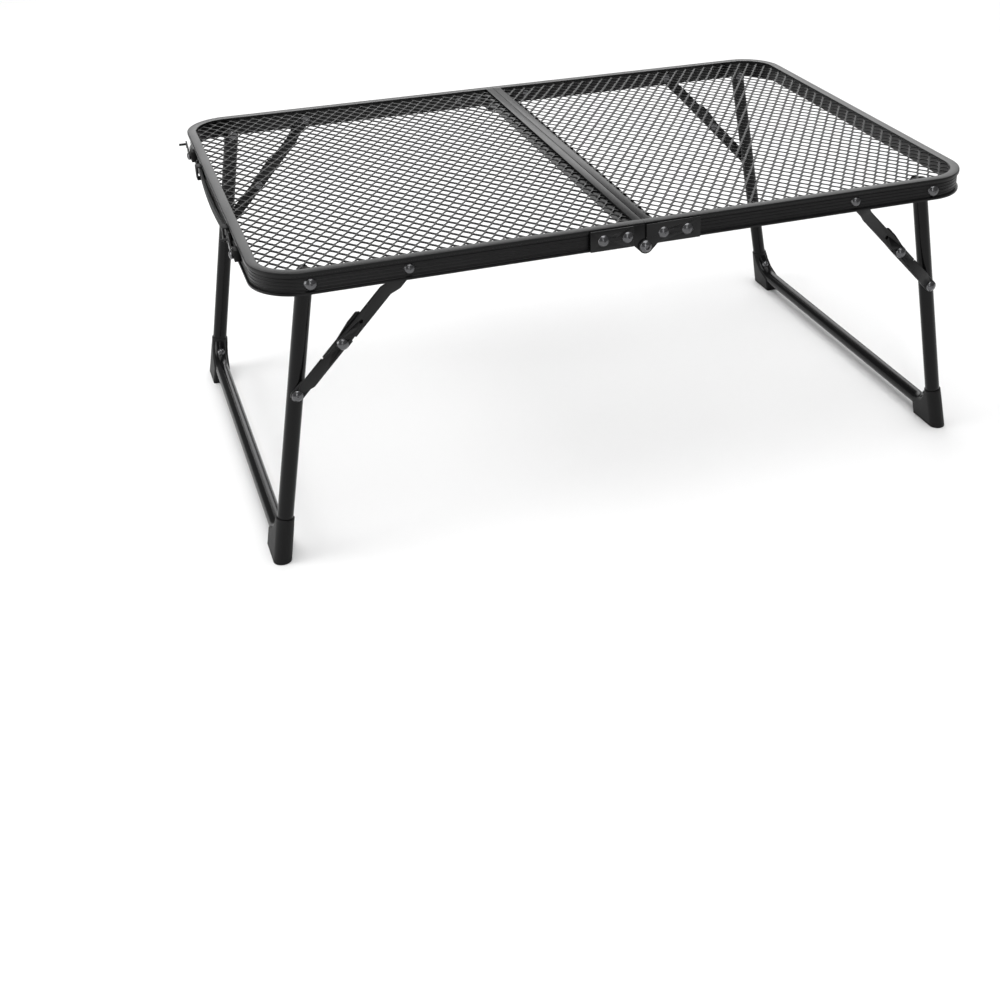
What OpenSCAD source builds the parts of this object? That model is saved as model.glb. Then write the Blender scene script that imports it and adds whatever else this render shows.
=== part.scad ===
// Folding side table: two framed mesh halves on a centre hinge, each with a
// U-shaped leg frame that swings inward on two folding stays.
// Origin on the floor under the middle of the open table, +Z up, +X along the table.

/* [Table top] */
// Length of the open table top
table_l = 600; // [560:5:640]
// Depth of the table top
table_w = 400; // [380:5:440]
// Height of the table top above the floor
table_h = 250; // [240:2:270]
// Outer radius of the four rounded corners
corner_r = 38; // [34:1:44]

/* [Rail section] */
// Height of the rail
rail_h = 18; // [17:0.5:20]
// Width of the top flange
flange_w = 8; // [7:0.5:10]
// Thickness of the rail walls
wall = 1.4; // [1.2:0.1:1.6]
// Depth of the groove in the outer face
groove_d = 1.8; // [1.2:0.1:2]
// Height of the lip above the groove
top_lip = 3; // [2:0.5:3]
// Height of the lip below the groove
bottom_lip = 2.2; // [1.5:0.1:2.4]
// Gap at the seam between the halves
seam_gap = 0.2; // [0.1:0.05:0.4]
// Width of each crossbar beside the seam
crossbar_w = 7.2; // [6.8:0.2:10]
// Depth of each crossbar
crossbar_h = 14; // [10:1:16]

/* [Mesh] */
// Thickness of the mesh sheet
mesh_t = 1.3; // [1:0.1:1.4]
// Openings across the depth of the table
mesh_cells_y = 10; // [6:1:14]
// Openings along each half
mesh_cells_x = 11; // [6:1:14]
// Width of the strands between the openings
mesh_strand = 4; // [3:0.5:6]

/* [Legs] */
// Outside diameter of the leg tube
tube_d = 12.7; // [11:0.1:13]
// Wall thickness of the leg tube
tube_wall = 1.2; // [1:0.1:1.5]
// Distance of the leg pivot from the end of the table
pivot_in = 40.5; // [39:0.5:46]
// Depth of the leg pivot below the top
pivot_down = 10.4; // [10.2:0.1:11]
// Distance between the two tubes of a leg frame, centre to centre
leg_span = 352; // [346:1:354]
// Outward lean of the standing legs, in degrees
splay = 9.6; // [8:0.1:10]
// Turn from standing to folded, in degrees
leg_fold = 99.5; // [98:0.1:99.6]
// Distance from the pivot to the centre of the foot bar
bar_drop = 228.5; // [224:0.5:230]
// Centreline radius of the two bends
bend_r = 27; // [24:1:32]

/* [Feet] */
// Half thickness of a foot
foot_half = 7.3; // [7:0.1:7.4]
// Distance from the pivot to the rim of a foot
foot_rim = 205; // [200:1:210]
// Outward lean of the round outer end of a foot, in degrees
foot_lean = 4; // [2:0.5:5]

/* [Stays] */
// Distance between the leg pivot and the stay pivot on the rail
stay_top = 73; // [70:0.5:74]
// Distance between the leg pivot and the stay rivet on the leg
stay_leg = 96; // [95:0.5:98]
// Width of the stay links
link_w = 10; // [9:0.5:11]
// Thickness of the stay links
link_t = 2; // [1.5:0.1:2]

/* [Centre hinge] */
// Half length of a pair of hinge leaves
leaf_l = 45.8; // [42:0.2:50]
// Thickness of a hinge leaf
leaf_t = 2.4; // [2.2:0.1:2.6]
// Radius of the hinge eye
eye_r = 6; // [5.5:0.1:6.5]
// Depth of the hinge axis below the bottom of the rail
axis_drop = 1; // [0.8:0.1:1.4]

/* [Latches and strap] */
// Distance of the latches from the middle of the short side
latch_y = 123; // [118:1:130]
// Distance from the latch pivot to the stud that it hooks
latch_reach = 15; // [14.5:0.25:15.5]
// Distance of the strap brackets from the middle of the short side
bracket_y = 76.5; // [70:0.5:84]
// Width of the carrying strap
strap_w = 9; // [8:0.5:9]
// Thickness of the carrying strap
strap_t = 2; // [1.5:0.1:2]
// Angle at which the loose latches stand up from the level, in degrees
latch_raise = 18; // [0:1:18]

/* [Hidden] */
$fn = 48;
half_l = table_l / 2;
half_w = table_w / 2;
rail_z = table_h - rail_h;
axis_z = rail_z - axis_drop;
web_out = groove_d;                  // depth of the web's outer face from the lips
web_in = groove_d + wall;            // depth of the web's inner face
mesh_z = table_h - wall - mesh_t;
tube_r = tube_d / 2;
pivot_x = half_l - pivot_in;
pivot_z = table_h - pivot_down;
leg_y = leg_span / 2;
groove_z = (rail_z + bottom_lip + table_h - top_lip) / 2;
rivet_r = 2;                         // shank radius of the small rivets
pivot_r = 2.5;                       // shank radius of the leg pivots
fit = 0.1;                           // radial play of a turning rivet
gap = 0.3;                           // clearance between moving layers

// The stay triangle. The two links lie in line when the leg stands, and overlap when it folds.
stay_b = [pivot_x - stay_top, pivot_z + 0.6];
leg_dir = [sin(splay), -cos(splay)];
stay_c = [pivot_x, pivot_z] + stay_leg * leg_dir;
folded_turn = leg_fold - splay;
stay_c_folded = [pivot_x - stay_leg * sin(folded_turn), pivot_z - stay_leg * cos(folded_turn)];
reach_open = norm(stay_c - stay_b);
reach_folded = norm(stay_c_folded - stay_b);
upper_l = (reach_open + reach_folded) / 2;
lower_l = (reach_open - reach_folded) / 2;
stay_tilt = atan2(stay_b[1] - stay_c[1], stay_c[0] - stay_b[0]);   // below the horizontal, outward
knuckle = stay_b + upper_l * [cos(stay_tilt), -sin(stay_tilt)];

// Layers of the stays across the table, each given by its inner face
lower_low_y = leg_y + tube_r + gap;              // lower link where it meets the leg
lower_high_y = lower_low_y + link_t + 1;         // lower link at the knuckle
upper_low_y = lower_high_y + link_t + gap;       // upper link at the knuckle
upper_high_y = half_w - web_in - gap - link_t;   // upper link behind the rail

// Latch layers out from the end of the table
arm_x = 3.4;                         // inner face of the latch arm, out from the lips
arm_t = 1.2;
arm_w = 6.4;
tab_l = 7;
tab_w = 1.8;
latch_l = latch_reach + 4.2;
stud_z = 2 * axis_z - (groove_z - latch_reach);

// ---- placing -------------------------------------------------------------

// Mirrors a right-hand part to the left half
module on_left() { mirror([1, 0, 0]) children(); }

// Mirrors a rear part to the front
module at_front() { mirror([0, 1, 0]) children(); }

// The part at the rear and its mirror image at the front
module both_sides() {
    children();
    at_front() children();
}

// Lays a shape drawn in X and Z, and extruded upward, so that it stands from y to y + thickness
module standing(y, thickness) {
    translate([0, y + thickness, 0]) rotate([90, 0, 0]) linear_extrude(thickness) children();
}

// A cylinder along +Y from y, over the point p in X and Z
module pin_y(p, y, length, radius) {
    translate([p[0], y, p[1]]) rotate([-90, 0, 0]) cylinder(h = length, r = radius);
}

// A cylinder along +X from x, over the point p in Y and Z
module pin_x(p, x, length, radius) {
    translate([x, p[0], p[1]]) rotate([0, 90, 0]) cylinder(h = length, r = radius);
}

// Half outline of a domed rivet head
module dome_outline(radius, height) {
    big = (radius * radius + height * height) / (2 * height);
    intersection() {
        translate([0, height - big]) circle(big);
        square([radius, height]);
    }
}

// A domed rivet head that stands on a face at y and points along +Y
module dome_y(p, y, radius, height) {
    translate([p[0], y, p[1]]) rotate([-90, 0, 0]) rotate_extrude() dome_outline(radius, height);
}

// The same head along +X
module dome_x(p, x, radius, height) {
    translate([x, p[0], p[1]]) rotate([0, 90, 0]) rotate_extrude() dome_outline(radius, height);
}

// ---- table top -----------------------------------------------------------

// Rail section: the first coordinate is the distance outward, 0 at the lips
module rail_section() {
    translate([-web_in, rail_z]) square([wall, rail_h]);
    translate([-flange_w, table_h - wall]) square([flange_w, wall]);
    translate([-web_out - wall / 2, table_h - top_lip]) square([web_out + wall / 2, top_lip]);
    translate([-web_out - wall / 2, rail_z]) square([web_out + wall / 2, bottom_lip]);
}

// Straight stretch of rail that faces +Y, from x0 to x1
module rail_straight_x(x0, x1) {
    translate([x0, half_w, 0]) rotate([90, 0, 90]) linear_extrude(x1 - x0) rail_section();
}

// Rail of the right half: the short side, two corners and two long sides
module rail() {
    cx = half_l - corner_r;
    cy = half_w - corner_r;
    difference() {
        union() {
            both_sides() {
                rail_straight_x(seam_gap / 2, cx);
                translate([cx, cy, 0]) rotate_extrude(angle = 90)
                    translate([corner_r, 0]) rail_section();
            }
            translate([half_l, cy, 0]) rotate([90, 0, 0]) linear_extrude(2 * cy) rail_section();
        }
        both_sides() {
            for (x = [15, 35]) pin_y([x, groove_z], half_w - web_in - 1, wall + 2, rivet_r);
            pin_y([pivot_x, pivot_z], half_w - web_in - 1, wall + 2, pivot_r);
            pin_y(stay_b, half_w - web_in - 1, wall + 2, rivet_r);
        }
    }
}

// Box-section crossbar beside the seam, with a shelf that carries the edge of the mesh
module crossbar() {
    x0 = seam_gap / 2;
    top_y = half_w - flange_w;
    low_y = half_w - web_in;
    low_z = table_h - crossbar_h;
    color("#1b1b1d") difference() {
        union() {
            translate([x0, -top_y, table_h - wall]) cube([crossbar_w, 2 * top_y, wall]);
            translate([x0, -low_y, low_z]) cube([crossbar_w, 2 * low_y, crossbar_h - wall]);
            translate([x0, -top_y, mesh_z - wall]) cube([crossbar_w + 5, 2 * top_y, wall]);
        }
        translate([x0 + wall, -low_y - 1, low_z + wall])
            cube([crossbar_w - 2 * wall, 2 * low_y + 2, crossbar_h - 2 * wall]);
    }
}

// Sheet of mesh under the flanges, drawn with wide openings
module mesh_panel() {
    x0 = seam_gap / 2 + crossbar_w;
    x1 = half_l - web_in - 1;
    y1 = half_w - web_in - 1;
    inner_r = corner_r - web_in - 1;
    rim = flange_w + 4;
    ix0 = crossbar_w + 6;
    ix1 = half_l - rim;
    iy1 = half_w - rim;
    pitch_x = (ix1 - ix0) / mesh_cells_x;
    pitch_y = 2 * iy1 / mesh_cells_y;
    cut = mesh_strand / 2;
    color("#242426") translate([0, 0, mesh_z]) linear_extrude(mesh_t) difference() {
        union() {
            translate([x0, -y1]) square([x1 - inner_r - x0, 2 * y1]);
            translate([x0, -y1 + inner_r]) square([x1 - x0, 2 * (y1 - inner_r)]);
            for (s = [-1, 1]) translate([x1 - inner_r, s * (y1 - inner_r)]) circle(inner_r);
        }
        for (i = [0 : mesh_cells_x - 1], j = [0 : mesh_cells_y - 1])
            if (!(i == mesh_cells_x - 1 && (j == 0 || j == mesh_cells_y - 1)))
                translate([ix0 + (i + 0.5) * pitch_x, -iy1 + (j + 0.5) * pitch_y])
                    polygon([
                        [-pitch_x / 2 + cut, 0], [-pitch_x / 4, -pitch_y / 2 + cut],
                        [pitch_x / 4, -pitch_y / 2 + cut], [pitch_x / 2 - cut, 0],
                        [pitch_x / 4, pitch_y / 2 - cut], [-pitch_x / 4, pitch_y / 2 - cut]]);
    }
}

// ---- centre hinge --------------------------------------------------------

lap_x = 10.3;    // where the leaves step down to half thickness
ear_x = 9.8;     // where the ear leaves the straight lower edge
leaf_low = rail_z + 0.4;
leaf_high = table_h - 1;

// Outline of a leaf of the right half, from from_x to its end
module leaf_outline(from_x) {
    translate([from_x, leaf_low]) square([leaf_l - from_x, leaf_high - leaf_low]);
}

// Eye around the hinge axis, with the slope that joins it to the lower edge
module ear_outline() {
    drop = leaf_low - axis_z;
    turn = atan2(drop, ear_x) - acos(eye_r / norm([ear_x, drop]));
    translate([0, axis_z]) circle(eye_r);
    polygon([
        [0, axis_z], [eye_r * cos(turn), axis_z + eye_r * sin(turn)],
        [ear_x, leaf_low], [ear_x, leaf_low + 1], [0, leaf_low + 1]]);
}

// Leaf at the rear. The eye is on the outer layer if outer is true, else on the inner one.
module hinge_leaf(outer) {
    y0 = half_w + 0.05;
    half_t = (leaf_t - gap) / 2;
    lap_y = outer ? y0 + leaf_t - half_t : y0;
    difference() {
        union() {
            standing(y0, leaf_t) leaf_outline(lap_x);
            standing(lap_y, half_t) union() {
                leaf_outline(seam_gap / 2 + 0.2);
                ear_outline();
            }
        }
        for (x = [15, 35]) pin_y([x, groove_z], y0 - 1, leaf_t + 2, rivet_r);
        pin_y([0, axis_z], y0 - 1, leaf_t + 2, 2.4 + fit);
    }
}

// Hinge bolts at the front and the rear: domed head with a six-sided socket, and shank
module hinge_bolts() {
    head_y = half_w + leaf_t + 0.1;
    color("#3a3a3d") both_sides() {
        pin_y([0, axis_z], half_w + 0.15, leaf_t, 2.4);
        difference() {
            dome_y([0, axis_z], head_y, 5, 3);
            translate([0, head_y + 1.4, axis_z]) rotate([-90, 0, 0])
                cylinder(h = 3, r = 2.2, $fn = 6);
        }
    }
}

// Rivets that hold the leaves: head outside, shank and upset tail behind the web
module hinge_rivets() {
    color("#3a3a3d") both_sides() for (x = [15, 35]) {
        pin_y([x, groove_z], half_w - web_in - 1, web_in + leaf_t + 1.05, rivet_r);
        pin_y([x, groove_z], half_w - web_in - 1, 1, 3.2);
        dome_y([x, groove_z], half_w + leaf_t + 0.05, 4.6, 2.6);
    }
}

// ---- leg pivots and stays on the rail ------------------------------------

module leg_pivot_rivets() {
    inner_y = leg_y - tube_r - 1.6;
    color("#3a3a3d") both_sides() {
        pin_y([pivot_x, pivot_z], inner_y, half_w - web_out - inner_y, pivot_r);
        pin_y([pivot_x, pivot_z], inner_y, 1.3, 4.2);
        dome_y([pivot_x, pivot_z], half_w - web_out, 5.2, 3.4);
    }
}

// Sleeves between the rail and the leg tubes
module pivot_spacers() {
    y0 = leg_y + tube_r + gap;
    color("#202022") both_sides() difference() {
        pin_y([pivot_x, pivot_z], y0, half_w - web_in - y0, 4.4);
        pin_y([pivot_x, pivot_z], y0 - 1, half_w - web_in - y0 + 2, pivot_r);
    }
}

module stay_rivets() {
    tail_y = upper_high_y - gap - 1;
    color("#3a3a3d") both_sides() {
        pin_y(stay_b, tail_y, half_w - web_out - tail_y, rivet_r);
        pin_y(stay_b, tail_y, 1, 3.6);
        dome_y(stay_b, half_w - web_out, 4.5, 3);
    }
}

// ---- leg frame -----------------------------------------------------------

// Puts a leg shape, drawn hanging from the origin in Y and Z, at its pivot with its lean
module at_leg() {
    translate([pivot_x, 0, pivot_z]) rotate([0, -splay, 0]) children();
}

// The bent tube as a solid rod of the given radius, one half of the U
module leg_half(radius, top) {
    straight = bar_drop - bend_r;
    translate([0, leg_y, -straight]) cylinder(h = straight + top, r = radius);
    translate([0, leg_y - bend_r, -straight]) rotate([0, 90, 0])
        rotate_extrude(angle = 90) translate([bend_r, 0]) circle(radius);
    translate([0, 0, -bar_drop]) rotate([-90, 0, 0]) cylinder(h = leg_y - bend_r, r = radius);
}

module leg_rod(radius, top) {
    leg_half(radius, top);
    at_front() leg_half(radius, top);
}

tube_top = 3;    // length of tube above the pivot

module leg_frame() {
    color("#161617") at_leg() difference() {
        leg_rod(tube_r, tube_top);
        leg_rod(tube_r - tube_wall, tube_top + 1);
        both_sides() {
            translate([0, leg_y - tube_r - 1, 0]) rotate([-90, 0, 0])
                cylinder(h = tube_d + 2, r = pivot_r + fit);
            translate([0, leg_y, -stay_leg]) rotate([-90, 0, 0])
                cylinder(h = tube_d, r = rivet_r);
        }
    }
}

// Plastic plugs in the open tube ends
module tube_plugs() {
    color("#1f1f20") at_leg() both_sides() {
        translate([0, leg_y, tube_top]) difference() {
            rotate_extrude() dome_outline(tube_r - 0.2, 1.2);
            translate([0, 0, -2]) cylinder(h = 2, r = tube_r);
        }
        translate([0, leg_y, tube_top - 0.5]) cylinder(h = 0.6, r = tube_r - tube_wall);
    }
}

// Outline of a foot in the plane of the leg frame, for the rear foot
module foot_outline() {
    out_y = leg_y + tube_r + 6;
    in_y = leg_y - bend_r + 1;
    sole = bar_drop + 18;
    polygon([
        [leg_y - 1, -foot_rim], [out_y, -foot_rim],
        [out_y, -sole], [in_y + 1, -sole], [in_y, -bar_drop - tube_r],
        [in_y, -bar_drop - 1], [leg_y - 15, -bar_drop + 4],
        [leg_y - 4, -bar_drop + 15], [leg_y - 1, -bar_drop + bend_r - 1]]);
}

// Straight sides with a half-round outer end that leans out towards the sole
module foot_envelope() {
    translate([0, leg_y + 0.2, -foot_rim]) rotate([foot_lean, 0, 0]) translate([0, 0, -50]) {
        cylinder(h = 60, r = foot_half);
        translate([-foot_half, -50, 0]) cube([2 * foot_half, 50, 60]);
    }
}

// Rear foot: a cap around the outside of the bend, cut off level with the floor
module foot() {
    difference() {
        at_leg() difference() {
            intersection() {
                rotate([90, 0, 90]) translate([0, 0, -foot_half - 1])
                    linear_extrude(2 * foot_half + 2) foot_outline();
                foot_envelope();
            }
            leg_half(tube_r, 0);
        }
        translate([half_l - 80, 0, -60]) cube([160, half_w + 20, 60]);
    }
}

// Screws on the inner side of the bends
module foot_screws() {
    bend_in = bend_r - tube_r;
    color("#3a3a3d") at_leg() both_sides()
        translate([0, leg_y - bend_r, -bar_drop + bend_r]) rotate([45, 0, 0])
            translate([0, 0, 0.32 - bend_in]) rotate_extrude() dome_outline(3.4, 2.4);
}

// Rivets that hold the lower links to the leg tubes
module leg_stay_rivets() {
    tail_r = 3;
    inner_y = leg_y + sqrt(pow(tube_r - tube_wall, 2) - tail_r * tail_r) - 1.1;
    outer_y = lower_low_y + link_t + gap;
    color("#3a3a3d") at_leg() both_sides() translate([0, 0, -stay_leg]) {
        pin_y([0, 0], inner_y, outer_y - inner_y, rivet_r);
        pin_y([0, 0], inner_y, 1, tail_r);
        dome_y([0, 0], outer_y, 4.4, 2.2);
    }
}

// ---- stay links ----------------------------------------------------------

// Puts a link, drawn along +X from the origin, at the point p, running out and down along the stay
module along_stay(p) {
    translate([p[0], 0, p[1]]) rotate([0, stay_tilt, 0]) children();
}

// Flat stretch of link from x0 to x1 with the given end radii, between y and y + link_t
module link_plate(x0, x1, y, round0, round1) {
    standing(y, link_t) union() {
        translate([x0, -link_w / 2]) square([x1 - x0, link_w]);
        if (round0) translate([x0, 0]) circle(link_w / 2);
        if (round1) translate([x1, 0]) circle(link_w / 2);
    }
}

// Slanted stretch that joins two layers, between x0 at y0 and x1 at y1
module link_joggle(x0, y0, x1, y1) {
    translate([0, 0, -link_w / 2]) linear_extrude(link_w)
        polygon([[x0, y0], [x1, y1], [x1, y1 + link_t], [x0, y0 + link_t]]);
}

// Upper link of the rear stay: behind the rail, then out to the knuckle layer
module upper_link() {
    joggle0 = 16;
    joggle1 = 25;
    along_stay(stay_b) difference() {
        union() {
            link_plate(0, joggle0, upper_high_y, true, false);
            link_joggle(joggle0, upper_high_y, joggle1, upper_low_y);
            link_plate(joggle1, upper_l, upper_low_y, false, true);
        }
        pin_y([0, 0], upper_high_y - 1, link_t + 2, rivet_r + fit);
        pin_y([upper_l, 0], upper_low_y - 1, link_t + 2, rivet_r);
        pin_y([upper_l - 22, 0], upper_low_y - 1, link_t + 2, 1.6);
        translate([upper_l - 10, upper_low_y - 1, -link_w / 2 - 1]) cube([4, link_t + 2, 2.2]);
    }
}

// Lower link of the rear stay: from the leg tube to past the knuckle, with a stop lug
module lower_link() {
    joggle1 = 14;
    tail = 27;
    along_stay(stay_c) mirror([1, 0, 0]) difference() {
        union() {
            link_plate(0, joggle1 - 4, lower_low_y, true, false);
            link_joggle(joggle1 - 4, lower_low_y, joggle1, lower_high_y);
            link_plate(joggle1, lower_l, lower_high_y, false, false);
            standing(lower_high_y, link_t) polygon([
                [lower_l, -link_w / 2], [lower_l, link_w / 2], [lower_l + tail - 12, link_w / 2 + 2],
                [lower_l + tail - 2, link_w / 2 + 2], [lower_l + tail, link_w / 2],
                [lower_l + tail - 3, 0.6 - link_w / 2], [lower_l + 6, -link_w / 2]]);
        }
        pin_y([0, 0], lower_low_y - 1, link_t + 2, rivet_r + fit);
        pin_y([lower_l, 0], lower_high_y - 1, link_t + 2, rivet_r);
        translate([lower_l - 19, lower_high_y - 1, link_w / 2 - 1.2]) cube([1.6, link_t + 2, 2.2]);
    }
}

// Head of the knuckle rivet, with the part of the shank in the upper link
module knuckle_head() {
    color("#3a3a3d") {
        pin_y(knuckle, upper_low_y, link_t, rivet_r);
        dome_y(knuckle, upper_low_y + link_t, 4.7, 3);
    }
}

// Upset tail of the knuckle rivet, with the part of the shank in the lower link
module knuckle_tail() {
    color("#3a3a3d") {
        pin_y(knuckle, lower_high_y, link_t, rivet_r);
        pin_y(knuckle, lower_high_y - 1, 1, 3.4);
    }
}

// ---- strap and latches on the left short side ----------------------------
// Drawn on the right short side and mirrored.

// Bridges that hold the ends of the strap
module strap_brackets() {
    color("#1c1c1e") both_sides() translate([half_l, bracket_y - 4.75, 0]) difference() {
        translate([-web_out, 0, groove_z - 6]) cube([web_out + 4.6, 9.5, 12]);
        translate([-0.4, -1, groove_z - strap_w / 2 - 0.4]) cube([3.6, 12, strap_w + 0.8]);
        translate([-web_out - 1, 4.75, groove_z]) rotate([0, 90, 0]) cylinder(h = 12, r = 1.5);
    }
}

// Rivets of the strap brackets, under the strap
module bracket_rivets() {
    color("#3a3a3d") both_sides()
        pin_x([bracket_y, groove_z], half_l - web_out, web_out - 0.5, 1.5);
}

// Flexible band that slides through the brackets, with wider ends that stop it
module carry_strap() {
    end_y = bracket_y + 13;
    color("#141415") translate([half_l - 0.1, 0, groove_z]) {
        translate([0, -end_y, -strap_w / 2]) cube([strap_t, 2 * end_y, strap_w]);
        for (s = [-1, 1]) translate([0, s * (end_y + 1.5) - 1.5, -6]) cube([strap_t, 3, 12]);
    }
}

// Spacer blocks under the latch arms
module latch_blocks() {
    color("#202022") both_sides() translate([half_l - web_out, latch_y, groove_z]) difference() {
        translate([0, -4.75, -4.75]) cube([web_out + arm_x - gap, 9.5, 9.5]);
        rotate([0, 90, 0]) translate([0, 0, -1]) cylinder(h = 9, r = rivet_r);
    }
}

module latch_rivets() {
    top_x = half_l + arm_x + arm_t + gap;
    color("#3a3a3d") both_sides() {
        pin_x([latch_y, groove_z], half_l - web_out, top_x - half_l + web_out, rivet_r);
        dome_x([latch_y, groove_z], top_x, 3.8, 1.6);
    }
}

// Turning hook drawn from its pivot: a strip with a side notch and a finger tab bent outward
module latch_arm() {
    translate([half_l + arm_x, 0, 0]) {
        rotate([90, 0, 90]) linear_extrude(arm_t) difference() {
            union() {
                circle(arm_w / 2);
                translate([0, -arm_w / 2]) square([latch_l, arm_w]);
            }
            circle(rivet_r + fit);
            translate([latch_reach, 0]) circle(2);
            translate([latch_reach - 2.4, -arm_w]) square([4.4, arm_w - 1]);
        }
        translate([0, latch_l - arm_t, -tab_w / 2]) cube([tab_l, arm_t, tab_w]);
    }
}

// Headed studs on the short side of the other half, which the hooks catch
module latch_studs() {
    color("#3a3a3d") both_sides() {
        pin_x([latch_y, stud_z], half_l - web_out, web_out + arm_x + arm_t + 0.6, 1.6);
        dome_x([latch_y, stud_z], half_l + arm_x + arm_t + 0.6, 2.6, 1.3);
    }
}

// ---- nodes ---------------------------------------------------------------

black = "#1b1b1d";
steel = "#202023";
plastic = "#141415";

color(black) on_left() rail();  // left_rail
on_left() crossbar();  // left_crossbar
on_left() mesh_panel();  // left_mesh
color(steel) on_left() at_front() hinge_leaf(false);  // left_hinge_leaf_front
color(steel) on_left() hinge_leaf(false);  // left_hinge_leaf_rear
on_left() hinge_rivets();  // left_hinge_rivets
on_left() leg_pivot_rivets();  // left_leg_pivot_rivets
on_left() pivot_spacers();  // left_pivot_spacers
on_left() stay_rivets();  // left_stay_rivets
on_left() strap_brackets();
on_left() bracket_rivets();
on_left() carry_strap();
on_left() latch_blocks();
on_left() latch_rivets();
color(steel) on_left() translate([0, -latch_y, groove_z]) rotate([latch_raise, 0, 0]) latch_arm();  // latch_arm_front
color(steel) on_left() translate([0, latch_y, groove_z]) rotate([latch_raise, 0, 0]) latch_arm();  // latch_arm_rear
color(black) rail();  // right_rail
crossbar();  // right_crossbar
mesh_panel();  // right_mesh
color(steel) at_front() hinge_leaf(true);  // right_hinge_leaf_front
color(steel) hinge_leaf(true);  // right_hinge_leaf_rear
hinge_rivets();  // right_hinge_rivets
leg_pivot_rivets();  // right_leg_pivot_rivets
pivot_spacers();  // right_pivot_spacers
stay_rivets();  // right_stay_rivets
latch_studs();
hinge_bolts();
on_left() leg_frame();  // left_leg_frame
color(plastic) on_left() at_front() foot();  // left_foot_front
color(plastic) on_left() foot();  // left_foot_rear
on_left() foot_screws();  // left_foot_screws
on_left() tube_plugs();  // left_tube_plugs
on_left() leg_stay_rivets();  // left_leg_stay_rivets
leg_frame();  // right_leg_frame
color(plastic) at_front() foot();  // right_foot_front
color(plastic) foot();  // right_foot_rear
foot_screws();  // right_foot_screws
tube_plugs();  // right_tube_plugs
leg_stay_rivets();  // right_leg_stay_rivets
color(steel) on_left() at_front() upper_link();  // upper_link_left_front
color(steel) on_left() upper_link();  // upper_link_left_rear
color(steel) at_front() upper_link();  // upper_link_right_front
color(steel) upper_link();  // upper_link_right_rear
color(steel) on_left() at_front() lower_link();  // lower_link_left_front
color(steel) on_left() lower_link();  // lower_link_left_rear
color(steel) at_front() lower_link();  // lower_link_right_front
color(steel) lower_link();  // lower_link_right_rear
on_left() at_front() knuckle_head();  // knuckle_head_left_front
on_left() knuckle_head();  // knuckle_head_left_rear
at_front() knuckle_head();  // knuckle_head_right_front
knuckle_head();  // knuckle_head_right_rear
on_left() at_front() knuckle_tail();  // knuckle_tail_left_front
on_left() knuckle_tail();  // knuckle_tail_left_rear
at_front() knuckle_tail();  // knuckle_tail_right_front
knuckle_tail();  // knuckle_tail_right_rear
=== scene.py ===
"""Looks of the folding side table: coated rails, expanded mesh, moulded feet, strap and studio."""
import math

import bpy
from mathutils import Matrix, Vector


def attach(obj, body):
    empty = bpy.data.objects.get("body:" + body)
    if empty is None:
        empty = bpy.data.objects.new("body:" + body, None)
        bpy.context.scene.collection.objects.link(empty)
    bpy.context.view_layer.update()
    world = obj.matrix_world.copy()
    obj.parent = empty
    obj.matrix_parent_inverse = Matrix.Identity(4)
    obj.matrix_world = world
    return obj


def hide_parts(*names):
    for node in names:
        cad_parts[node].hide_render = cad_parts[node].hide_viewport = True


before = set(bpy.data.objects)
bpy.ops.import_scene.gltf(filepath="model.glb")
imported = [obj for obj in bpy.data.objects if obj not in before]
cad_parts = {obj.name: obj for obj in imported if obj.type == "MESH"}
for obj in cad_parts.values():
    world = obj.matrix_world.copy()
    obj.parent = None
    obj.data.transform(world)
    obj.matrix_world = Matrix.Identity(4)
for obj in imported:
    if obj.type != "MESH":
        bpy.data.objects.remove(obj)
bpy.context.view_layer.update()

MM = 0.001

# Main sizes of the table, in millimetres, the same as in the CAD model
HALF_LENGTH = 300.0
HALF_WIDTH = 200.0
HEIGHT = 250.0
CORNER = 38.0            # outer radius of the table's corners
RAIL_LOW = 232.0         # underside of the rail
FLANGE = 8.0             # width of the rail's top flange
SEAM = 0.1               # half the gap between the two halves
MESH_LOW = 247.3
MESH_HIGH = 248.6
CROSSBAR_EDGE = 7.3      # edge of the crossbar that the mesh meets
LEG_PIVOT = (259.5, 239.6)
LEG_LEAN = math.radians(9.6)
LEG_Y = 176.0
TUBE_RADIUS = 6.35
FOOT_RIM = 205.0         # upper rim of the foot, down the leg from its pivot
FOOT_HALF = 7.3          # half the width of the foot
FOOT_LEAN = math.radians(4.0)
BAR_DROP = 228.5         # floor bar, down the leg from its pivot
BEND = 27.0              # bend radius of the leg tube


# ---- materials -----------------------------------------------------------

GRAIN_HEIGHT = 0.0002        # metres, of the deepest grain
SLOW_GRAIN_SCALE = 0.12      # the slow grain against the fine one
SLOW_GRAIN_SHARE = 0.6
EDGE_GAIN = 5.0              # how fast the worn mask fills as an edge turns
PATCH_FLOOR = 0.4            # noise below this leaves the coat unworn
PATCH_GAIN = 4.0
EDGE_PATCHES = 60.0          # worn patches per metre
HANDLED_SCALE = 14.0         # slow marks per metre
SPECKLE_SCALE = 220.0        # dust speckles per metre
HANDLED_SHARE = 0.7
SPECKLE_SHARE = 0.3
SPECKLE_FLOOR = 0.42
DUST_COLOUR = (0.30, 0.29, 0.28)


def new_group(name, inputs, outputs):
    """Empty shader group with the given sockets, each input as (name, default)."""
    group = bpy.data.node_groups.new(name, "ShaderNodeTree")
    for label, default in inputs:
        socket = group.interface.new_socket(label, in_out="INPUT", socket_type="NodeSocketFloat")
        socket.default_value = default
    for label, kind in outputs:
        group.interface.new_socket(label, in_out="OUTPUT", socket_type=kind)
    return group, group.nodes.new("NodeGroupInput"), group.nodes.new("NodeGroupOutput")


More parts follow.
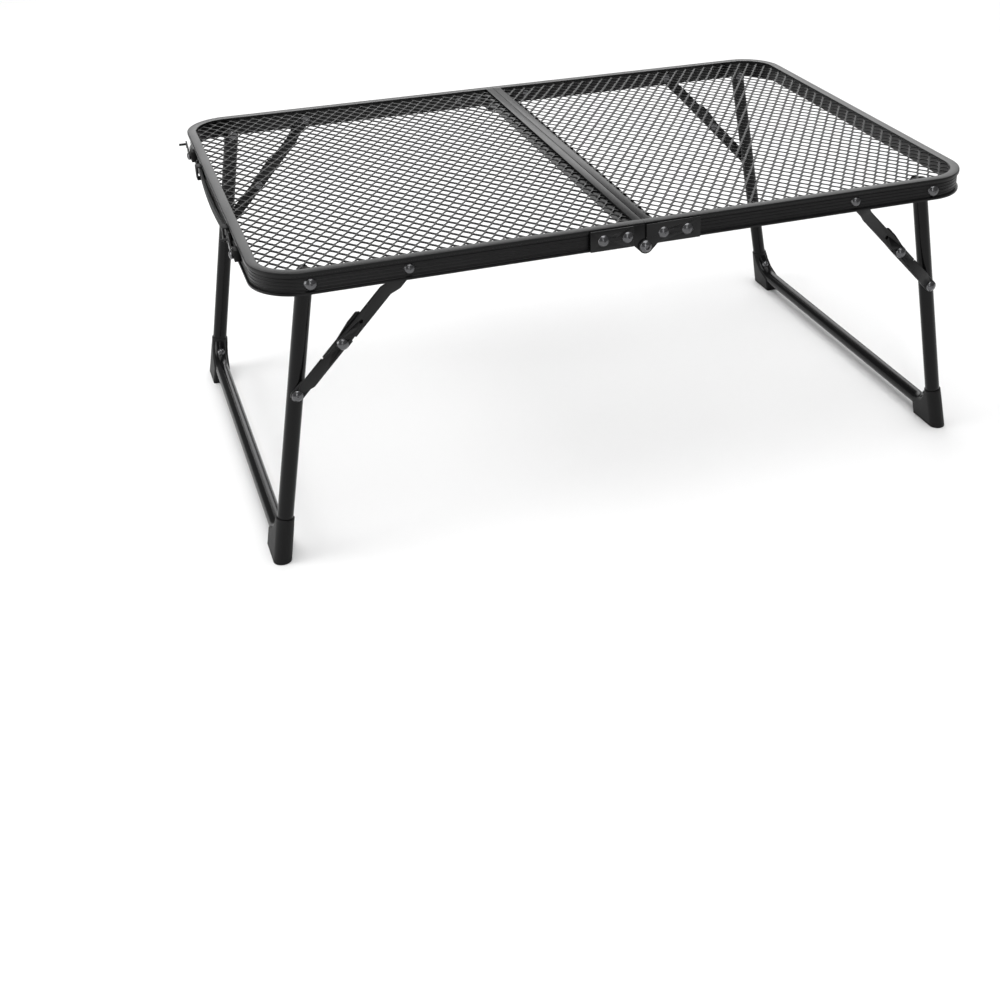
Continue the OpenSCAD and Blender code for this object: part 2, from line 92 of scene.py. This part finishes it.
def math_node(group, operation, first, second=None, clamp=False):
    """Math node fed by sockets or plain numbers. Returns its output."""
    node = group.nodes.new("ShaderNodeMath")
    node.operation = operation
    node.use_clamp = clamp
    for slot, value in enumerate((first, second)):
        if value is None:
            continue
        if isinstance(value, (int, float)):
            node.inputs[slot].default_value = value
        else:
            group.links.new(value, node.inputs[slot])
    return node.outputs[0]


def noise_node(group, place, scale, detail=3.0, rough=0.55):
    """Noise at the given place, with scale a socket or a number. Returns its value."""
    node = group.nodes.new("ShaderNodeTexNoise")
    node.inputs["Detail"].default_value = detail
    node.inputs["Roughness"].default_value = rough
    group.links.new(place, node.inputs["Vector"])
    if isinstance(scale, (int, float)):
        node.inputs["Scale"].default_value = scale
    else:
        group.links.new(scale, node.inputs["Scale"])
    return node.outputs["Fac"]


def make_grain_group():
    """Fine bumps of a powder coat or a spark-eroded mould."""
    group, inputs, outputs = new_group(
        "surface_grain",
        [("Grains per metre", 1500.0), ("Depth", 0.2)],
        [("Normal", "NodeSocketVector")],
    )
    place = group.nodes.new("ShaderNodeTexCoord").outputs["Object"]
    fine = noise_node(group, place, inputs.outputs["Grains per metre"], 2.0)
    slow_scale = math_node(group, "MULTIPLY", inputs.outputs["Grains per metre"], SLOW_GRAIN_SCALE)
    slow = noise_node(group, place, slow_scale, 2.0)
    slow_part = math_node(group, "MULTIPLY", slow, SLOW_GRAIN_SHARE)
    height = math_node(group, "ADD", fine, slow_part)
    bump = group.nodes.new("ShaderNodeBump")
    bump.inputs["Distance"].default_value = GRAIN_HEIGHT
    group.links.new(inputs.outputs["Depth"], bump.inputs["Strength"])
    group.links.new(height, bump.inputs["Height"])
    group.links.new(bump.outputs["Normal"], outputs.inputs["Normal"])
    return group


def make_wear_group():
    """Mask of the rubbed edges, broken up so that it isn't an even line."""
    group, inputs, outputs = new_group(
        "rubbed_edges",
        [("Reach in metres", 0.0006), ("Amount", 1.0), ("Patchiness", EDGE_PATCHES)],
        [("Mask", "NodeSocketFloat")],
    )
    soft = group.nodes.new("ShaderNodeBevel")
    soft.samples = 4
    group.links.new(inputs.outputs["Reach in metres"], soft.inputs["Radius"])
    flat = group.nodes.new("ShaderNodeNewGeometry")
    dot = group.nodes.new("ShaderNodeVectorMath")
    dot.operation = "DOT_PRODUCT"
    group.links.new(soft.outputs["Normal"], dot.inputs[0])
    group.links.new(flat.outputs["Normal"], dot.inputs[1])
    turned = math_node(group, "SUBTRACT", 1.0, dot.outputs["Value"], clamp=True)
    edge = math_node(group, "MULTIPLY", turned, EDGE_GAIN, clamp=True)
    place = group.nodes.new("ShaderNodeTexCoord").outputs["Object"]
    patches = noise_node(group, place, inputs.outputs["Patchiness"], 4.0, 0.7)
    above = math_node(group, "SUBTRACT", patches, PATCH_FLOOR)
    kept = math_node(group, "MULTIPLY", above, PATCH_GAIN, clamp=True)
    mask = math_node(group, "MULTIPLY", math_node(group, "MULTIPLY", edge, kept),
                     inputs.outputs["Amount"], clamp=True)
    group.links.new(mask, outputs.inputs["Mask"])
    return group


def make_handling_group():
    """Slow unevenness of gloss from handling, and a light settling of dust on level faces."""
    group, inputs, outputs = new_group(
        "handling_and_dust",
        [("Roughness", 0.4), ("Unevenness", 0.1), ("Dust", 0.1)],
        [("Roughness", "NodeSocketFloat"), ("Dust mask", "NodeSocketFloat")],
    )
    place = group.nodes.new("ShaderNodeTexCoord").outputs["Object"]
    slow = noise_node(group, place, HANDLED_SCALE, 5.0, 0.6)
    fine = noise_node(group, place, SPECKLE_SCALE, 3.0, 0.6)
    mixed = math_node(group, "ADD", math_node(group, "MULTIPLY", slow, HANDLED_SHARE),
                      math_node(group, "MULTIPLY", fine, SPECKLE_SHARE))
    around_zero = math_node(group, "SUBTRACT", mixed, 0.5)
    change = math_node(group, "MULTIPLY", around_zero, inputs.outputs["Unevenness"])
    uneven = math_node(group, "ADD", inputs.outputs["Roughness"],
                       math_node(group, "MULTIPLY", change, 4.0), clamp=True)
    split = group.nodes.new("ShaderNodeSeparateXYZ")
    normal = group.nodes.new("ShaderNodeNewGeometry").outputs["Normal"]
    group.links.new(normal, split.inputs[0])
    level = math_node(group, "MULTIPLY", split.outputs["Z"], inputs.outputs["Dust"], clamp=True)
    above = math_node(group, "SUBTRACT", fine, SPECKLE_FLOOR)
    speckle = math_node(group, "MULTIPLY", above, PATCH_GAIN, clamp=True)
    group.links.new(uneven, outputs.inputs["Roughness"])
    group.links.new(math_node(group, "MULTIPLY", level, speckle), outputs.inputs["Dust mask"])
    return group


GRAIN = make_grain_group()
WEAR = make_wear_group()
HANDLING = make_handling_group()


def add_group(tree, group, **values):
    """The group in a material, with underscores in the keywords standing for spaces."""
    node = tree.nodes.new("ShaderNodeGroup")
    node.node_tree = group
    for label, value in values.items():
        node.inputs[label.replace("_", " ")].default_value = value
    return node


def coloured_mix(tree, mask, first, second):
    """Mix of two colours by a mask, where the first is a colour or a socket."""
    mix = tree.nodes.new("ShaderNodeMix")
    mix.data_type = "RGBA"
    tree.links.new(mask, mix.inputs["Factor"])
    if isinstance(first, tuple):
        mix.inputs["A"].default_value = (*first, 1.0)
    else:
        tree.links.new(first, mix.inputs["A"])
    mix.inputs["B"].default_value = (*second, 1.0)
    return mix.outputs["Result"]


def finish_of(name, colour, worn, roughness, grains, depth, metallic=0.0, wear=0.6,
              reach=0.0006, unevenness=0.1, dust=0.1, specular=0.5):
    """Principled material with grain, rubbed edges, handling marks and a little dust."""
    material = bpy.data.materials.new(name)
    material.use_nodes = True
    tree = material.node_tree
    shader = tree.nodes["Principled BSDF"]
    grain = add_group(tree, GRAIN, Grains_per_metre=grains, Depth=depth)
    edges = add_group(tree, WEAR, Reach_in_metres=reach, Amount=wear,
                      Patchiness=EDGE_PATCHES)
    handling = add_group(tree, HANDLING, Roughness=roughness, Unevenness=unevenness, Dust=dust)
    worn_colour = coloured_mix(tree, edges.outputs["Mask"], colour, worn)
    dusty = coloured_mix(tree, handling.outputs["Dust mask"], worn_colour, DUST_COLOUR)
    tree.links.new(dusty, shader.inputs["Base Color"])
    tree.links.new(handling.outputs["Roughness"], shader.inputs["Roughness"])
    tree.links.new(grain.outputs["Normal"], shader.inputs["Normal"])
    shader.inputs["Metallic"].default_value = metallic
    shader.inputs["Specular IOR Level"].default_value = specular
    return material


FRAME_COAT = finish_of("frame_powder_coat", (0.003, 0.003, 0.0032), (0.04, 0.04, 0.042),
                       0.34, 1400.0, 0.08, wear=0.35, unevenness=0.04, dust=0.01, specular=0.20)
MESH_COAT = finish_of("mesh_powder_coat", (0.004, 0.004, 0.0043), (0.04, 0.04, 0.042),
                      0.42, 1600.0, 0.06, wear=0.0, unevenness=0.04, dust=0.01, specular=0.16)
TUBE_COAT = finish_of("leg_tube_coat", (0.0025, 0.0025, 0.0027), (0.04, 0.04, 0.042),
                      0.20, 900.0, 0.05, wear=0.15, unevenness=0.04, dust=0.0, specular=0.17)
PLATE_COAT = finish_of("pressed_plate_coat", (0.004, 0.004, 0.0042), (0.10, 0.10, 0.105),
                       0.34, 1200.0, 0.10, wear=0.6, reach=0.0004, unevenness=0.06, dust=0.01,
                       specular=0.24)
RIVET_COAT = finish_of("rivet_black_steel", (0.10, 0.10, 0.104), (0.40, 0.40, 0.41),
                       0.24, 700.0, 0.12, metallic=0.85, wear=0.8, reach=0.0008,
                       unevenness=0.08, dust=0.0, specular=0.6)
FOOT_PLASTIC = finish_of("moulded_foot_plastic", (0.005, 0.005, 0.0052), (0.03, 0.03, 0.03),
                         0.50, 2200.0, 0.22, wear=0.3, unevenness=0.06, dust=0.02, specular=0.16)
STRAP_RUBBER = finish_of("strap_rubber", (0.006, 0.006, 0.006), (0.03, 0.03, 0.03),
                         0.48, 2500.0, 0.20, wear=0.3, unevenness=0.08, dust=0.02, specular=0.22)


# ---- shape helpers -------------------------------------------------------

SMOOTH_ANGLE = 32.0
WELD_DISTANCE = 0.00001


def smooth(obj, angle=SMOOTH_ANGLE):
    """Smooth shading that stays sharp at edges over the angle in degrees."""
    for face in obj.data.polygons:
        face.use_smooth = True
    obj.data.set_sharp_from_angle(angle=math.radians(angle))


def piece(name, points, faces, body, material, mirrored=False,
          angle=SMOOTH_ANGLE):
    """Mesh piece from points in millimetres that rides on a body, mirrored for the left half."""
    side = -1.0 if mirrored else 1.0
    mesh = bpy.data.meshes.new(name)
    placed = [(side * x * MM, y * MM, z * MM) for x, y, z in points]
    turned = [tuple(reversed(face)) for face in faces] if mirrored else faces
    mesh.from_pydata(placed, [], turned)
    mesh.update()
    obj = bpy.data.objects.new(name, mesh)
    bpy.context.scene.collection.objects.link(obj)
    obj.data.materials.append(material)
    smooth(obj, angle)
    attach(obj, body)
    return obj


def swept(rings):
    """Faces that join rings of equal length, with caps at both ends."""
    count = len(rings[0])
    points = [point for ring in rings for point in ring]
    faces = []
    for row in range(len(rings) - 1):
        for step in range(count):
            after = (step + 1) % count
            faces.append((row * count + step, row * count + after,
                          (row + 1) * count + after, (row + 1) * count + step))
    last = (len(rings) - 1) * count
    faces.append(tuple(reversed(range(count))))
    faces.append(tuple(range(last, last + count)))
    return points, faces


def rounded(obj, width, segments=3, angle=SMOOTH_ANGLE):
    """Rounds the edges of a piece by a width in millimetres, after joining doubled points."""
    weld = obj.modifiers.new("join_points", "WELD")
    weld.merge_threshold = WELD_DISTANCE
    bevel = obj.modifiers.new("round_edges", "BEVEL")
    bevel.width = width * MM
    bevel.segments = segments
    bevel.limit_method = "ANGLE"
    bevel.angle_limit = math.radians(angle)
    bevel.harden_normals = False


# ---- rails ---------------------------------------------------------------

FACE_BACK = 1.8                            # ridged face, behind the lips
RIDGE_BACK = 1.5                           # crests of the ridges, behind the lips
WALL_BACK = 3.2                            # inner face of the wall, behind the lips
RIDGES = (244.6, 241.9, 239.2, 236.5)      # heights of the long ridges
RIDGE_FOOT = 0.55
RIDGE_CREST = 0.2
UPPER_LIP = 247.0                          # underside of the upper lip
LOWER_LIP = 234.2                          # top of the lower lip
CORNER_STEPS = 24


def rail_outline():
    """Closed outline of the rail as (distance outward from the lips, height)."""
    outline = [
        (-FLANGE, 248.75), (-FLANGE, 249.7), (-7.7, HEIGHT), (-0.9, HEIGHT), (-0.35, 249.85),
        (-0.1, 249.6), (0.0, 249.2), (0.0, UPPER_LIP + 0.5), (-0.12, UPPER_LIP + 0.15),
        (-0.45, UPPER_LIP), (-RIDGE_BACK, UPPER_LIP), (-FACE_BACK, UPPER_LIP - 0.3)]
    for ridge in RIDGES:
        outline += [(-FACE_BACK, ridge + RIDGE_FOOT), (-RIDGE_BACK, ridge + RIDGE_CREST),
                    (-RIDGE_BACK, ridge - RIDGE_CREST), (-FACE_BACK, ridge - RIDGE_FOOT)]
    outline += [
        (-FACE_BACK, LOWER_LIP + 0.3), (-RIDGE_BACK, LOWER_LIP), (-0.45, LOWER_LIP),
        (-0.12, LOWER_LIP - 0.15), (0.0, LOWER_LIP - 0.5), (0.0, RAIL_LOW + 0.5),
        (-0.15, RAIL_LOW + 0.15), (-0.5, RAIL_LOW), (-2.8, RAIL_LOW),
        (-WALL_BACK, RAIL_LOW + 0.3), (-WALL_BACK, 248.2), (-3.6, 248.6), (-7.85, 248.6)]
    return outline


def rail_route():
    """Points on the line of the lips with the outward direction, from seam to seam."""
    corner_x = HALF_LENGTH - CORNER
    corner_y = HALF_WIDTH - CORNER
    route = [(SEAM, HALF_WIDTH, 0.0, 1.0)]
    for step in range(CORNER_STEPS + 1):
        turn = math.pi / 2 * (1 - step / CORNER_STEPS)
        out = (math.cos(turn), math.sin(turn))
        route.append((corner_x + CORNER * out[0], corner_y + CORNER * out[1], *out))
    for step in range(CORNER_STEPS + 1):
        turn = -math.pi / 2 * step / CORNER_STEPS
        out = (math.cos(turn), math.sin(turn))
        route.append((corner_x + CORNER * out[0], -corner_y + CORNER * out[1], *out))
    route.append((SEAM, -HALF_WIDTH, 0.0, -1.0))
    return route


def build_rail(half, mirrored):
    """Formed rail of one half, swept round its two corners."""
    outline = rail_outline()
    rings = [[(x + out * ox, y + out * oy, z) for out, z in outline]
             for x, y, ox, oy in rail_route()]
    points, faces = swept(rings)
    rail = piece(half + "_rail_formed", points, faces, half + "_half", FRAME_COAT,
                 mirrored, 28.0)
    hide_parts(half + "_rail")


# ---- expanded mesh -------------------------------------------------------

CELL_ALONG = 10.3        # one diamond along the table
CELL_ACROSS = 15.8       # one diamond across the table
SHEET_MARGIN = 4.2       # edge of the sheet, inside the table's outer edge
SHORTEST_STRAND = 2.5    # shorter ends of strands are left off under the flange
BOND_REACH = 1.7         # how far a bond runs into its strands
BOND_SHIFT = 0.30        # how far a strand steps sideways beside a bond
STRAND_HALF_THICK = 0.45
STRAND_TILT = 0.15       # rise of a strand's edge where it is tilted most
CUT_STEPS = 12


def in_sheet(x, y):
    """True on the sheet: a rounded rectangle that ends under the flange and at the crossbar."""
    corner_x = HALF_LENGTH - CORNER
    corner_y = HALF_WIDTH - CORNER
    if x < CROSSBAR_EDGE + 0.2:
        return False
    if abs(y) > corner_y and x > corner_x:
        return math.hypot(x - corner_x, abs(y) - corner_y) < CORNER - SHEET_MARGIN
    return x < HALF_LENGTH - SHEET_MARGIN and abs(y) < HALF_WIDTH - SHEET_MARGIN


def share_inside(inner, outer):
    """Share of the line from inner to outer that lies on the sheet."""
    low, high = 0.0, 1.0
    for _ in range(CUT_STEPS):
        middle = (low + high) / 2
        x = inner[0] + (outer[0] - inner[0]) * middle
        y = inner[1] + (outer[1] - inner[1]) * middle
        if in_sheet(x, y):
            low = middle
        else:
            high = middle
    return low


def strand_rings(start, end, tilt):
    """Cross-sections of one strand: level at the bonds, tilted between them."""
    sx = math.copysign(1.0, end[0] - start[0])
    sy = math.copysign(1.0, end[1] - start[1])
    length = math.hypot(end[0] - start[0], end[1] - start[1])
    if length < SHORTEST_STRAND:
        return None
    dx, dy = (end[0] - start[0]) / length, (end[1] - start[1]) / length
    across = (-dy, dx)
    rings = []
    middle_z = (MESH_LOW + MESH_HIGH) / 2
    bend = min(BOND_REACH, length / 4)
    stations = ((0.0, 0.85, 0.25, 0.0), (bend, 0.70, 0.7, BOND_SHIFT), (length / 2, 0.62, 1.0, 0.0),
                (length - bend, 0.70, 0.7, -BOND_SHIFT), (length, 0.85, 0.25, 0.0))
    for along, half_width, lean, shift in stations:
        x = start[0] + dx * along - sx * shift
        y = start[1] + dy * along + sy * shift
        rise = tilt * lean * STRAND_TILT
        left = (x - across[0] * half_width, y - across[1] * half_width)
        right = (x + across[0] * half_width, y + across[1] * half_width)
        rings.append([
            (*left, middle_z - rise - STRAND_HALF_THICK),
            (*right, middle_z + rise - STRAND_HALF_THICK),
            (*right, middle_z + rise + STRAND_HALF_THICK),
            (*left, middle_z - rise + STRAND_HALF_THICK)])
    return rings


def build_mesh(half, mirrored):
    """Expanded sheet of one half, as strands between bonds, cut off under the flange."""
    points, faces = [], []
    columns = int((HALF_LENGTH - CROSSBAR_EDGE) / (CELL_ALONG / 2)) + 2
    rows = int(2 * HALF_WIDTH / (CELL_ACROSS / 2)) + 2

    def bond(i, j):
        return CROSSBAR_EDGE - 2.0 + i * CELL_ALONG / 2, -HALF_WIDTH + 1.0 + j * CELL_ACROSS / 2

    for i in range(columns):
        for j in range(-1, rows):
            if (i + j) % 2:
                continue
            for step in (1, -1):
                start, end = bond(i, j), bond(i + 1, j + step)
                inside = in_sheet(*start), in_sheet(*end)
                if not any(inside):
                    continue
                if not inside[1]:
                    share = share_inside(start, end)
                    end = tuple(a + (b - a) * share for a, b in zip(start, end))
                elif not inside[0]:
                    share = share_inside(end, start)
                    start = tuple(b + (a - b) * share for a, b in zip(start, end))
                rings = strand_rings(start, end, 1.0 if step == 1 else -1.0)
                if rings is None:
                    continue
                base = len(points)
                strand_points, strand_faces = swept(rings)
                points += strand_points
                faces += [tuple(base + index for index in face) for face in strand_faces]
    sheet = piece(half + "_expanded_mesh", points, faces, half + "_half", MESH_COAT,
                  mirrored, 50.0)
    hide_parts(half + "_mesh")


# ---- feet ----------------------------------------------------------------

FOOT_TAPER = 0.15        # how much narrower the foot is at its rim
FOOT_TAPER_RUN = 12.0
FOOT_SLICES = 30
FOOT_DEPTH = 33.0        # from the first slice to the last one above the sole
SOLE_RUN = 4.0           # from the last slice to the sole
INNER_CHAMFER = 1.2
END_STEPS = 20
COLLAR_STEPS = 40
COLLAR = ((0.0, TUBE_RADIUS + 0.1), (0.0, 7.0), (0.35, 7.3), (2.2, 7.35), (2.8, 7.1),
          (9.0, 7.1), (9.0, TUBE_RADIUS - 0.2))    # (down from the rim, radius)


def on_leg(across, y, down):
    """Point of the right leg frame: across its plane, along Y, and down from its pivot."""
    return (LEG_PIVOT[0] + across * math.cos(LEG_LEAN) + down * math.sin(LEG_LEAN), y,
            LEG_PIVOT[1] + across * math.sin(LEG_LEAN) - down * math.cos(LEG_LEAN))


def foot_plan(down):
    """Plan of a rear foot at a height on the leg: straight sides and a half-round outer end."""
    near_rim = max(0.0, 1.0 - (down - FOOT_RIM) / FOOT_TAPER_RUN)
    half = FOOT_HALF - FOOT_TAPER * near_rim
    outer_y = LEG_Y + 0.2 + math.tan(FOOT_LEAN) * (down - FOOT_RIM)
    plan = []
    for step in range(END_STEPS + 1):
        turn = math.pi * step / END_STEPS
        plan.append((half * math.cos(turn), outer_y + half * math.sin(turn)))
    return plan, half


def foot_inner_y(down):
    """Where the inner side of a foot lies at a height on the leg, along the web under the bend."""
    corner = LEG_Y - BEND + 1.0
    web = ((FOOT_RIM, LEG_Y - 3.0), (BAR_DROP - 15.0, LEG_Y - 6.5),
           (BAR_DROP - 7.0, LEG_Y - 13.0), (BAR_DROP - 1.0, corner),
           (BAR_DROP + TUBE_RADIUS, corner), (BAR_DROP + 30.0, corner + 1.5))
    for (down0, y0), (down1, y1) in zip(web, web[1:]):
        if down <= down1:
            return y0 + (y1 - y0) * (down - down0) / (down1 - down0)
    return web[-1][1]


def build_foot(half, end, mirrored):
    """Cap that wraps the bend, as level slices of its plan from the rim to the sole."""
    flip = 1.0 if end == "rear" else -1.0
    rings = []
    slices = [FOOT_RIM + 0.6 + FOOT_DEPTH * step / FOOT_SLICES for step in range(FOOT_SLICES + 1)]
    for down in slices + [slices[-1] + SOLE_RUN]:
        is_sole = down > slices[-1]
        plan, side = foot_plan(down)
        inner = foot_inner_y(min(down, slices[-1]))
        plan += [(-side, inner + INNER_CHAMFER), (-side + INNER_CHAMFER, inner),
                 (side - INNER_CHAMFER, inner), (side, inner + INNER_CHAMFER)]
        ring = []
        for across, y in plan:
            on_floor = (LEG_PIVOT[1] + across * math.sin(LEG_LEAN)) / math.cos(LEG_LEAN)
            ring.append(on_leg(across, flip * y, on_floor if is_sole else down))
        rings.append(list(reversed(ring)) if end == "rear" else ring)
    points, faces = swept(rings)
    foot = piece(half + "_foot_moulding_" + end, points, faces, half + "_legs", FOOT_PLASTIC,
                 mirrored, 35.0)
    rounded(foot, 0.7, 3, 50.0)
    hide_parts(half + "_foot_" + end)
    collar = []
    for below_rim, radius in COLLAR:
        ring = []
        for step in range(COLLAR_STEPS):
            turn = flip * 2 * math.pi * step / COLLAR_STEPS
            ring.append(on_leg(radius * math.cos(turn), flip * LEG_Y + radius * math.sin(turn),
                               FOOT_RIM + below_rim))
        collar.append(ring)
    points, faces = swept(collar)
    piece(half + "_foot_collar_" + end, points, faces, half + "_legs", FOOT_PLASTIC,
          mirrored, 35.0)


# ---- strap ---------------------------------------------------------------

STRAP_HALF_HEIGHT = 4.5
STRAP_THICK = 2.0
STRAP_REACH = 89.5       # half the strap's length
STRAP_STEP = 0.75
STRAP_HEIGHT = 240.6     # height of its middle line at the ends
STRAP_FREE = 70.0        # half the length between the brackets
STRAP_BOW = 1.6          # how far the middle stands off the rail
STRAP_SAG = 2.2
RIB_RISE = 0.38
RIB_DIP = 0.35
STRAP_BACK = HALF_LENGTH - 0.1
STOP_END = 92.4          # outer end of the stop beside each bracket
STOP_LOW = 234.7
STOP_HIGH = 246.5


def build_strap():
    """Ribbed band that hangs a little away from the rail between its brackets."""
    rings = []
    for step in range(int(2 * STRAP_REACH / STRAP_STEP) + 1):
        y = -STRAP_REACH + step * STRAP_STEP
        is_free = abs(y) < STRAP_FREE
        is_rib = is_free and step % 4 in (0, 1)
        loose = max(0.0, 1.0 - (y / STRAP_FREE) ** 2)
        near = STRAP_BACK + STRAP_BOW * loose
        far = near + STRAP_THICK - (0.0 if is_rib else RIB_RISE)
        middle = STRAP_HEIGHT - STRAP_SAG * loose
        tall = STRAP_HALF_HEIGHT - (RIB_DIP if is_free and not is_rib else 0.0)
        rings.append([
            (near, y, middle - tall + 0.4), (near + 0.4, y, middle - tall),
            (far - 0.5, y, middle - tall), (far, y, middle - tall + 0.5),
            (far, y, middle + tall - 0.5), (far - 0.5, y, middle + tall),
            (near + 0.4, y, middle + tall), (near, y, middle + tall - 0.4)])
    points, faces = swept(rings)
    strap = piece("ribbed_strap", points, faces, "left_half", STRAP_RUBBER, True, 30.0)
    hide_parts("carry_strap")
    for end in (-1, 1):
        points, faces = swept([
            [(STRAP_BACK, y, STOP_LOW), (STRAP_BACK + STRAP_THICK, y, STOP_LOW),
             (STRAP_BACK + STRAP_THICK, y, STOP_HIGH), (STRAP_BACK, y, STOP_HIGH)]
            for y in sorted((end * STRAP_REACH, end * STOP_END))])
        stop = piece("strap_stop_" + ("front" if end < 0 else "rear"), points, faces,
                     "left_half", STRAP_RUBBER, True)
        rounded(stop, 0.5)


# ---- CAD pieces that stay in view ----------------------------------------

def coat_nodes():
    """Gives each shown CAD node its finish, and rounds the edges of the pressed parts."""
    for name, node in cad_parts.items():
        if node.hide_render:
            continue
        if "leg_frame" in name:
            material = TUBE_COAT
        elif "crossbar" in name:
            material = FRAME_COAT
        elif "leaf" in name or "link" in name or "latch_arm" in name:
            material = PLATE_COAT
        elif "plug" in name or "spacer" in name or name in ("latch_blocks", "strap_brackets"):
            material = FOOT_PLASTIC
        else:
            material = RIVET_COAT
        node.data.materials.clear()
        node.data.materials.append(material)
        smooth(node, 30.0)
        if material is PLATE_COAT or "crossbar" in name:
            rounded(node, 0.3, 2, 40.0)
        elif name in ("latch_blocks", "strap_brackets"):
            rounded(node, 0.6, 3, 40.0)


for half, mirrored in (("left", True), ("right", False)):
    build_rail(half, mirrored)
    build_mesh(half, mirrored)
    for end in ("front", "rear"):
        build_foot(half, end, mirrored)
build_strap()
coat_nodes()


# ---- floor, light and camera ---------------------------------------------

FLOOR_REACH = 30.0       # metres, from the middle to each side
SKY_STRENGTH = 0.25


def build_floor():
    """Wide pale floor that runs off to the horizon."""
    mesh = bpy.data.meshes.new("floor")
    corners = ((-1, -1), (1, -1), (1, 1), (-1, 1))
    mesh.from_pydata([(FLOOR_REACH * x, FLOOR_REACH * y, 0) for x, y in corners], [],
                     [(0, 1, 2, 3)])
    floor = bpy.data.objects.new("floor", mesh)
    bpy.context.scene.collection.objects.link(floor)
    material = bpy.data.materials.new("pale_floor")
    material.use_nodes = True
    shader = material.node_tree.nodes["Principled BSDF"]
    shader.inputs["Base Color"].default_value = (0.86, 0.86, 0.86, 1.0)
    shader.inputs["Roughness"].default_value = 0.9
    shader.inputs["Specular IOR Level"].default_value = 0.1
    mesh.materials.append(material)


def add_softbox(name, place, target, width, height, power):
    """Rectangular light at place that faces target, in metres and watts."""
    lamp = bpy.data.lights.new(name, "AREA")
    lamp.shape = "RECTANGLE"
    lamp.size = width
    lamp.size_y = height
    lamp.energy = power
    obj = bpy.data.objects.new(name, lamp)
    bpy.context.scene.collection.objects.link(obj)
    obj.location = place
    aim = Vector(target) - Vector(place)
    obj.rotation_euler = aim.to_track_quat("-Z", "Y").to_euler()


def build_studio():
    """White surroundings and soft lights above, behind, at the left and in front."""
    world = bpy.data.worlds.new("studio")
    bpy.context.scene.world = world
    world.use_nodes = True
    sky = world.node_tree.nodes["Background"]
    sky.inputs["Color"].default_value = (1.0, 1.0, 1.0, 1.0)
    sky.inputs["Strength"].default_value = SKY_STRENGTH
    add_softbox("overhead_softbox", place=(-0.1, -0.1, 2.4), target=(0.0, 0.0, 0.0),
                width=2.6, height=2.2, power=66.0)
    add_softbox("rear_softbox", place=(0.85, 2.3, 1.25), target=(0.0, 0.0, 0.2),
                width=2.6, height=1.1, power=28.0)
    add_softbox("left_softbox", place=(-2.2, 0.1, 0.8), target=(0.0, 0.0, 0.2),
                width=1.4, height=1.2, power=24.0)
    add_softbox("front_strip", place=(-0.5, -2.0, 1.1), target=(0.0, 0.0, 0.15),
                width=0.22, height=1.6, power=7.0)


CAMERA_TURN = math.radians(-20.81)
CAMERA_RISE = math.radians(26.15)
CAMERA_ROLL = math.radians(-0.42)
CAMERA_DISTANCE = 1.379                    # metres, from the middle of the table
CAMERA_ASIDE = 0.036
CAMERA_BELOW = 0.0679
TABLE_MIDDLE = Vector((0.0, 0.0, 0.125))
LENS = 54.04                               # millimetres
SENSOR_WIDTH = 36.0


def build_camera():
    """Camera at the angle, distance and lens fitted to the table's known size."""
    flat = math.cos(CAMERA_RISE)
    back = Vector((math.sin(CAMERA_TURN) * flat, -math.cos(CAMERA_TURN) * flat,
                   math.sin(CAMERA_RISE)))
    level = Vector((math.cos(CAMERA_TURN), math.sin(CAMERA_TURN), 0.0))
    upright = back.cross(level)
    right = math.cos(CAMERA_ROLL) * level + math.sin(CAMERA_ROLL) * upright
    up = -math.sin(CAMERA_ROLL) * level + math.cos(CAMERA_ROLL) * upright
    place = (TABLE_MIDDLE + CAMERA_ASIDE * right - CAMERA_BELOW * up
             + CAMERA_DISTANCE * back)
    lens = bpy.data.cameras.new("camera")
    lens.sensor_width = SENSOR_WIDTH
    lens.lens = LENS
    lens.shift_x = -0.10
    lens.shift_y = -0.15
    lens.clip_start = 0.05
    lens.clip_end = 200.0
    lens.dof.use_dof = False
    camera = bpy.data.objects.new("camera", lens)
    bpy.context.scene.collection.objects.link(camera)
    axes = Matrix((right, up, back)).transposed().to_4x4()
    camera.matrix_world = Matrix.Translation(place) @ axes
    bpy.context.scene.camera = camera
    bpy.context.scene.view_settings.view_transform = "Standard"


build_floor()
build_studio()
build_camera()
